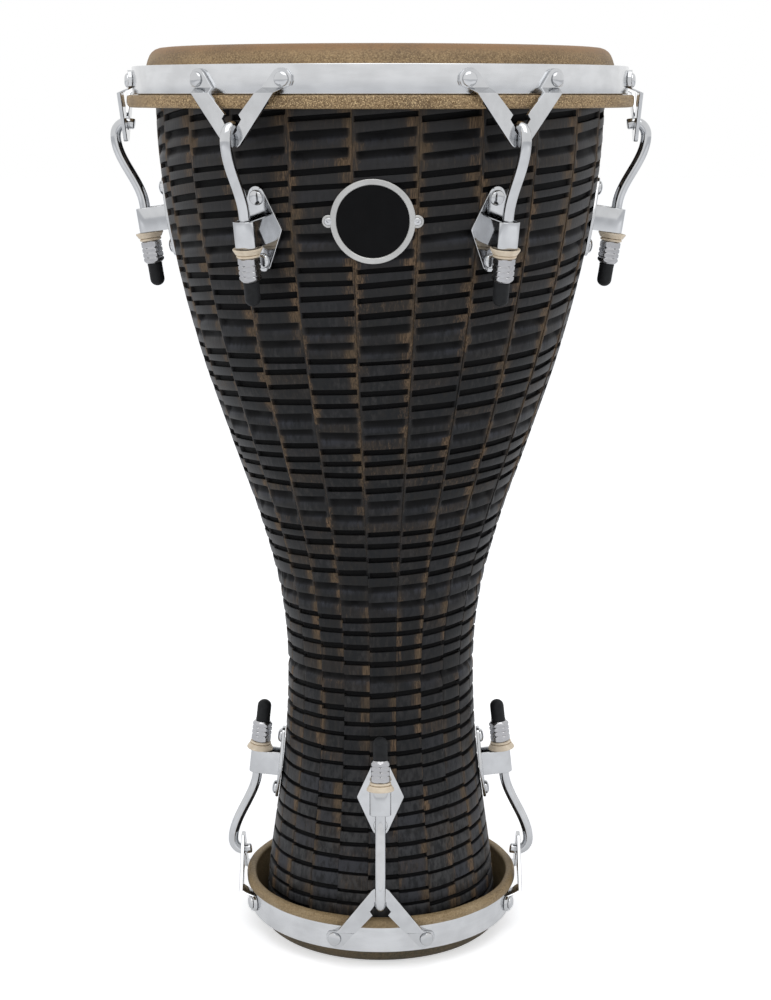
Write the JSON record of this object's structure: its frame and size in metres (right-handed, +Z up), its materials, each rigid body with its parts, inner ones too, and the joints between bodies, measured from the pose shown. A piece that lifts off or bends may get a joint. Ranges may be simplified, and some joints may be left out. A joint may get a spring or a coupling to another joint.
{
  "type": "bata drum",
  "caption": "Hourglass bata drum standing on its small head: staved shell, lapped hide skins at both ends, and rims drawn in by hooks and nuts at bolted lugs.",
  "frame": {"origin": "middle of the small head's playing face, on the floor under the upright drum", "axes": "+Z up along the drum's axis towards the large head; -Y is the front, where the badge is"},
  "size_m": [0.411, 0.3814, 0.6953],
  "materials": {
    "lacquered_wood": "black satin lacquer worn to brown grain at the stave edges",
    "hide": "dry stretched rawhide, speckled tan",
    "hoop_steel": "plain steel ring, hidden inside the lapped hide",
    "chrome": "bright chrome plate",
    "nylon": "cream moulded nylon",
    "rubber": "black rubber, dull",
    "badge_plate": "bare black gloss face inside a brushed silver ring",
    "screw_steel": "small bright round-head screws"
  },
  "bodies": {
    "shell_body": {"shell": "lacquered_wood", "badge": "badge_plate", "badge_screw_left": "screw_steel", "badge_screw_right": "screw_steel", "top_lug_1": "chrome", "top_lug_2": "chrome", "top_lug_3": "chrome", "top_lug_4": "chrome", "top_lug_5": "chrome", "top_lug_6": "chrome", "bottom_lug_1": "chrome", "bottom_lug_2": "chrome", "bottom_lug_3": "chrome", "bottom_lug_4": "chrome", "top_washer_1": "nylon", "top_washer_2": "nylon", "top_washer_3": "nylon", "top_washer_4": "nylon", "top_washer_5": "nylon", "top_washer_6": "nylon", "bottom_washer_1": "nylon", "bottom_washer_2": "nylon", "bottom_washer_3": "nylon", "bottom_washer_4": "nylon"},
    "top_head": {"top_skin": "hide", "top_flesh_hoop": "hoop_steel", "top_rim": "chrome"},
    "bottom_head": {"bottom_skin": "hide", "bottom_flesh_hoop": "hoop_steel", "bottom_rim": "chrome"},
    "top_hook_body_1": {"top_hook_1": "chrome"},
    "top_nut_body_1": {"top_tuning_nut_1": "chrome", "top_thread_cap_1": "rubber"},
    "top_hook_body_2": {"top_hook_2": "chrome"},
    "top_nut_body_2": {"top_tuning_nut_2": "chrome", "top_thread_cap_2": "rubber"},
    "top_hook_body_3": {"top_hook_3": "chrome"},
    "top_nut_body_3": {"top_tuning_nut_3": "chrome", "top_thread_cap_3": "rubber"},
    "top_hook_body_4": {"top_hook_4": "chrome"},
    "top_nut_body_4": {"top_tuning_nut_4": "chrome", "top_thread_cap_4": "rubber"},
    "top_hook_body_5": {"top_hook_5": "chrome"},
    "top_nut_body_5": {"top_tuning_nut_5": "chrome", "top_thread_cap_5": "rubber"},
    "top_hook_body_6": {"top_hook_6": "chrome"},
    "top_nut_body_6": {"top_tuning_nut_6": "chrome", "top_thread_cap_6": "rubber"},
    "bottom_hook_body_1": {"bottom_hook_1": "chrome"},
    "bottom_nut_body_1": {"bottom_tuning_nut_1": "chrome", "bottom_thread_cap_1": "rubber"},
    "bottom_hook_body_2": {"bottom_hook_2": "chrome"},
    "bottom_nut_body_2": {"bottom_tuning_nut_2": "chrome", "bottom_thread_cap_2": "rubber"},
    "bottom_hook_body_3": {"bottom_hook_3": "chrome"},
    "bottom_nut_body_3": {"bottom_tuning_nut_3": "chrome", "bottom_thread_cap_3": "rubber"},
    "bottom_hook_body_4": {"bottom_hook_4": "chrome"},
    "bottom_nut_body_4": {"bottom_tuning_nut_4": "chrome", "bottom_thread_cap_4": "rubber"}
  },
  "joints": [
    {"name": "top_head_slide", "type": "slide", "parent": "shell_body", "child": "top_head", "axis": [0, 0, 1], "range_m": [0, 0.00419]},
    {"name": "bottom_head_slide", "type": "slide", "parent": "shell_body", "child": "bottom_head", "axis": [0, 0, -1], "range_m": [0, 0.00421]},
    {"name": "top_nut_turn_1", "type": "hinge", "parent": "shell_body", "child": "top_nut_body_1", "pos_m": [0.08705, -0.1564, 0.56748], "axis": [-0.0722, 0.1297, -0.9889], "range_deg": [0, 1080]},
    {"name": "top_hook_slide_1", "type": "slide", "parent": "shell_body", "child": "top_hook_body_1", "axis": [0.0722, -0.1297, 0.9889], "range_m": [0, 0.00423]},
    {"name": "top_nut_turn_2", "type": "hinge", "parent": "shell_body", "child": "top_nut_body_2", "pos_m": [0.17897, -0.00281, 0.56748], "axis": [-0.1484, 0.0023, -0.9889], "range_deg": [0, 1080]},
    {"name": "top_hook_slide_2", "type": "slide", "parent": "shell_body", "child": "top_hook_body_2", "axis": [0.1484, -0.0023, 0.9889], "range_m": [0, 0.00423]},
    {"name": "top_nut_turn_3", "type": "hinge", "parent": "shell_body", "child": "top_nut_body_3", "pos_m": [0.09192, 0.15358, 0.56748], "axis": [-0.0762, -0.1273, -0.9889], "range_deg": [0, 1080]},
    {"name": "top_hook_slide_3", "type": "slide", "parent": "shell_body", "child": "top_hook_body_3", "axis": [0.0762, 0.1273, 0.9889], "range_m": [0, 0.00423]},
    {"name": "top_nut_turn_4", "type": "hinge", "parent": "shell_body", "child": "top_nut_body_4", "pos_m": [-0.08705, 0.1564, 0.56748], "axis": [0.0722, -0.1297, -0.9889], "range_deg": [0, 1080]},
    {"name": "top_hook_slide_4", "type": "slide", "parent": "shell_body", "child": "top_hook_body_4", "axis": [-0.0722, 0.1297, 0.9889], "range_m": [0, 0.00423]},
    {"name": "top_nut_turn_5", "type": "hinge", "parent": "shell_body", "child": "top_nut_body_5", "pos_m": [-0.17897, 0.00281, 0.56748], "axis": [0.1484, -0.0023, -0.9889], "range_deg": [0, 1080]},
    {"name": "top_hook_slide_5", "type": "slide", "parent": "shell_body", "child": "top_hook_body_5", "axis": [-0.1484, 0.0023, 0.9889], "range_m": [0, 0.00423]},
    {"name": "top_nut_turn_6", "type": "hinge", "parent": "shell_body", "child": "top_nut_body_6", "pos_m": [-0.09192, -0.15358, 0.56748], "axis": [0.0762, 0.1273, -0.9889], "range_deg": [0, 1080]},
    {"name": "top_hook_slide_6", "type": "slide", "parent": "shell_body", "child": "top_hook_body_6", "axis": [-0.0762, -0.1273, 0.9889], "range_m": [0, 0.00423]},
    {"name": "bottom_nut_turn_1", "type": "hinge", "parent": "shell_body", "child": "bottom_nut_body_1", "pos_m": [0, -0.09897, 0.13316], "axis": [0, 0.1135, 0.9935], "range_deg": [0, 1080]},
    {"name": "bottom_hook_slide_1", "type": "slide", "parent": "shell_body", "child": "bottom_hook_body_1", "axis": [0, -0.1135, -0.9935], "range_m": [0, 0.00423]},
    {"name": "bottom_nut_turn_2", "type": "hinge", "parent": "shell_body", "child": "bottom_nut_body_2", "pos_m": [0.09897, 0, 0.13316], "axis": [-0.1135, 0, 0.9935], "range_deg": [0, 1080]},
    {"name": "bottom_hook_slide_2", "type": "slide", "parent": "shell_body", "child": "bottom_hook_body_2", "axis": [0.1135, 0, -0.9935], "range_m": [0, 0.00423]},
    {"name": "bottom_nut_turn_3", "type": "hinge", "parent": "shell_body", "child": "bottom_nut_body_3", "pos_m": [0, 0.09897, 0.13316], "axis": [0, -0.1135, 0.9935], "range_deg": [0, 1080]},
    {"name": "bottom_hook_slide_3", "type": "slide", "parent": "shell_body", "child": "bottom_hook_body_3", "axis": [0, 0.1135, -0.9935], "range_m": [0, 0.00423]},
    {"name": "bottom_nut_turn_4", "type": "hinge", "parent": "shell_body", "child": "bottom_nut_body_4", "pos_m": [-0.09897, 0, 0.13316], "axis": [0.1135, 0, 0.9935], "range_deg": [0, 1080]},
    {"name": "bottom_hook_slide_4", "type": "slide", "parent": "shell_body", "child": "bottom_hook_body_4", "axis": [-0.1135, 0, -0.9935], "range_m": [0, 0.00423]}
  ],
  "couplings": [
    {"joint": "top_nut_turn_1", "follows": "top_head_slide", "rad_per_m": 4502.5},
    {"joint": "top_hook_slide_1", "follows": "top_head_slide", "ratio": 1.0112},
    {"joint": "top_nut_turn_2", "follows": "top_head_slide", "rad_per_m": 4502.5},
    {"joint": "top_hook_slide_2", "follows": "top_head_slide", "ratio": 1.0112},
    {"joint": "top_nut_turn_3", "follows": "top_head_slide", "rad_per_m": 4502.5},
    {"joint": "top_hook_slide_3", "follows": "top_head_slide", "ratio": 1.0112},
    {"joint": "top_nut_turn_4", "follows": "top_head_slide", "rad_per_m": 4502.5},
    {"joint": "top_hook_slide_4", "follows": "top_head_slide", "ratio": 1.0112},
    {"joint": "top_nut_turn_5", "follows": "top_head_slide", "rad_per_m": 4502.5},
    {"joint": "top_hook_slide_5", "follows": "top_head_slide", "ratio": 1.0112},
    {"joint": "top_nut_turn_6", "follows": "top_head_slide", "rad_per_m": 4502.5},
    {"joint": "top_hook_slide_6", "follows": "top_head_slide", "ratio": 1.0112},
    {"joint": "bottom_nut_turn_1", "follows": "bottom_head_slide", "rad_per_m": 4481.6},
    {"joint": "bottom_hook_slide_1", "follows": "bottom_head_slide", "ratio": 1.0065},
    {"joint": "bottom_nut_turn_2", "follows": "bottom_head_slide", "rad_per_m": 4481.6},
    {"joint": "bottom_hook_slide_2", "follows": "bottom_head_slide", "ratio": 1.0065},
    {"joint": "bottom_nut_turn_3", "follows": "bottom_head_slide", "rad_per_m": 4481.6},
    {"joint": "bottom_hook_slide_3", "follows": "bottom_head_slide", "ratio": 1.0065},
    {"joint": "bottom_nut_turn_4", "follows": "bottom_head_slide", "rad_per_m": 4481.6},
    {"joint": "bottom_hook_slide_4", "follows": "bottom_head_slide", "ratio": 1.0065}
  ]
}
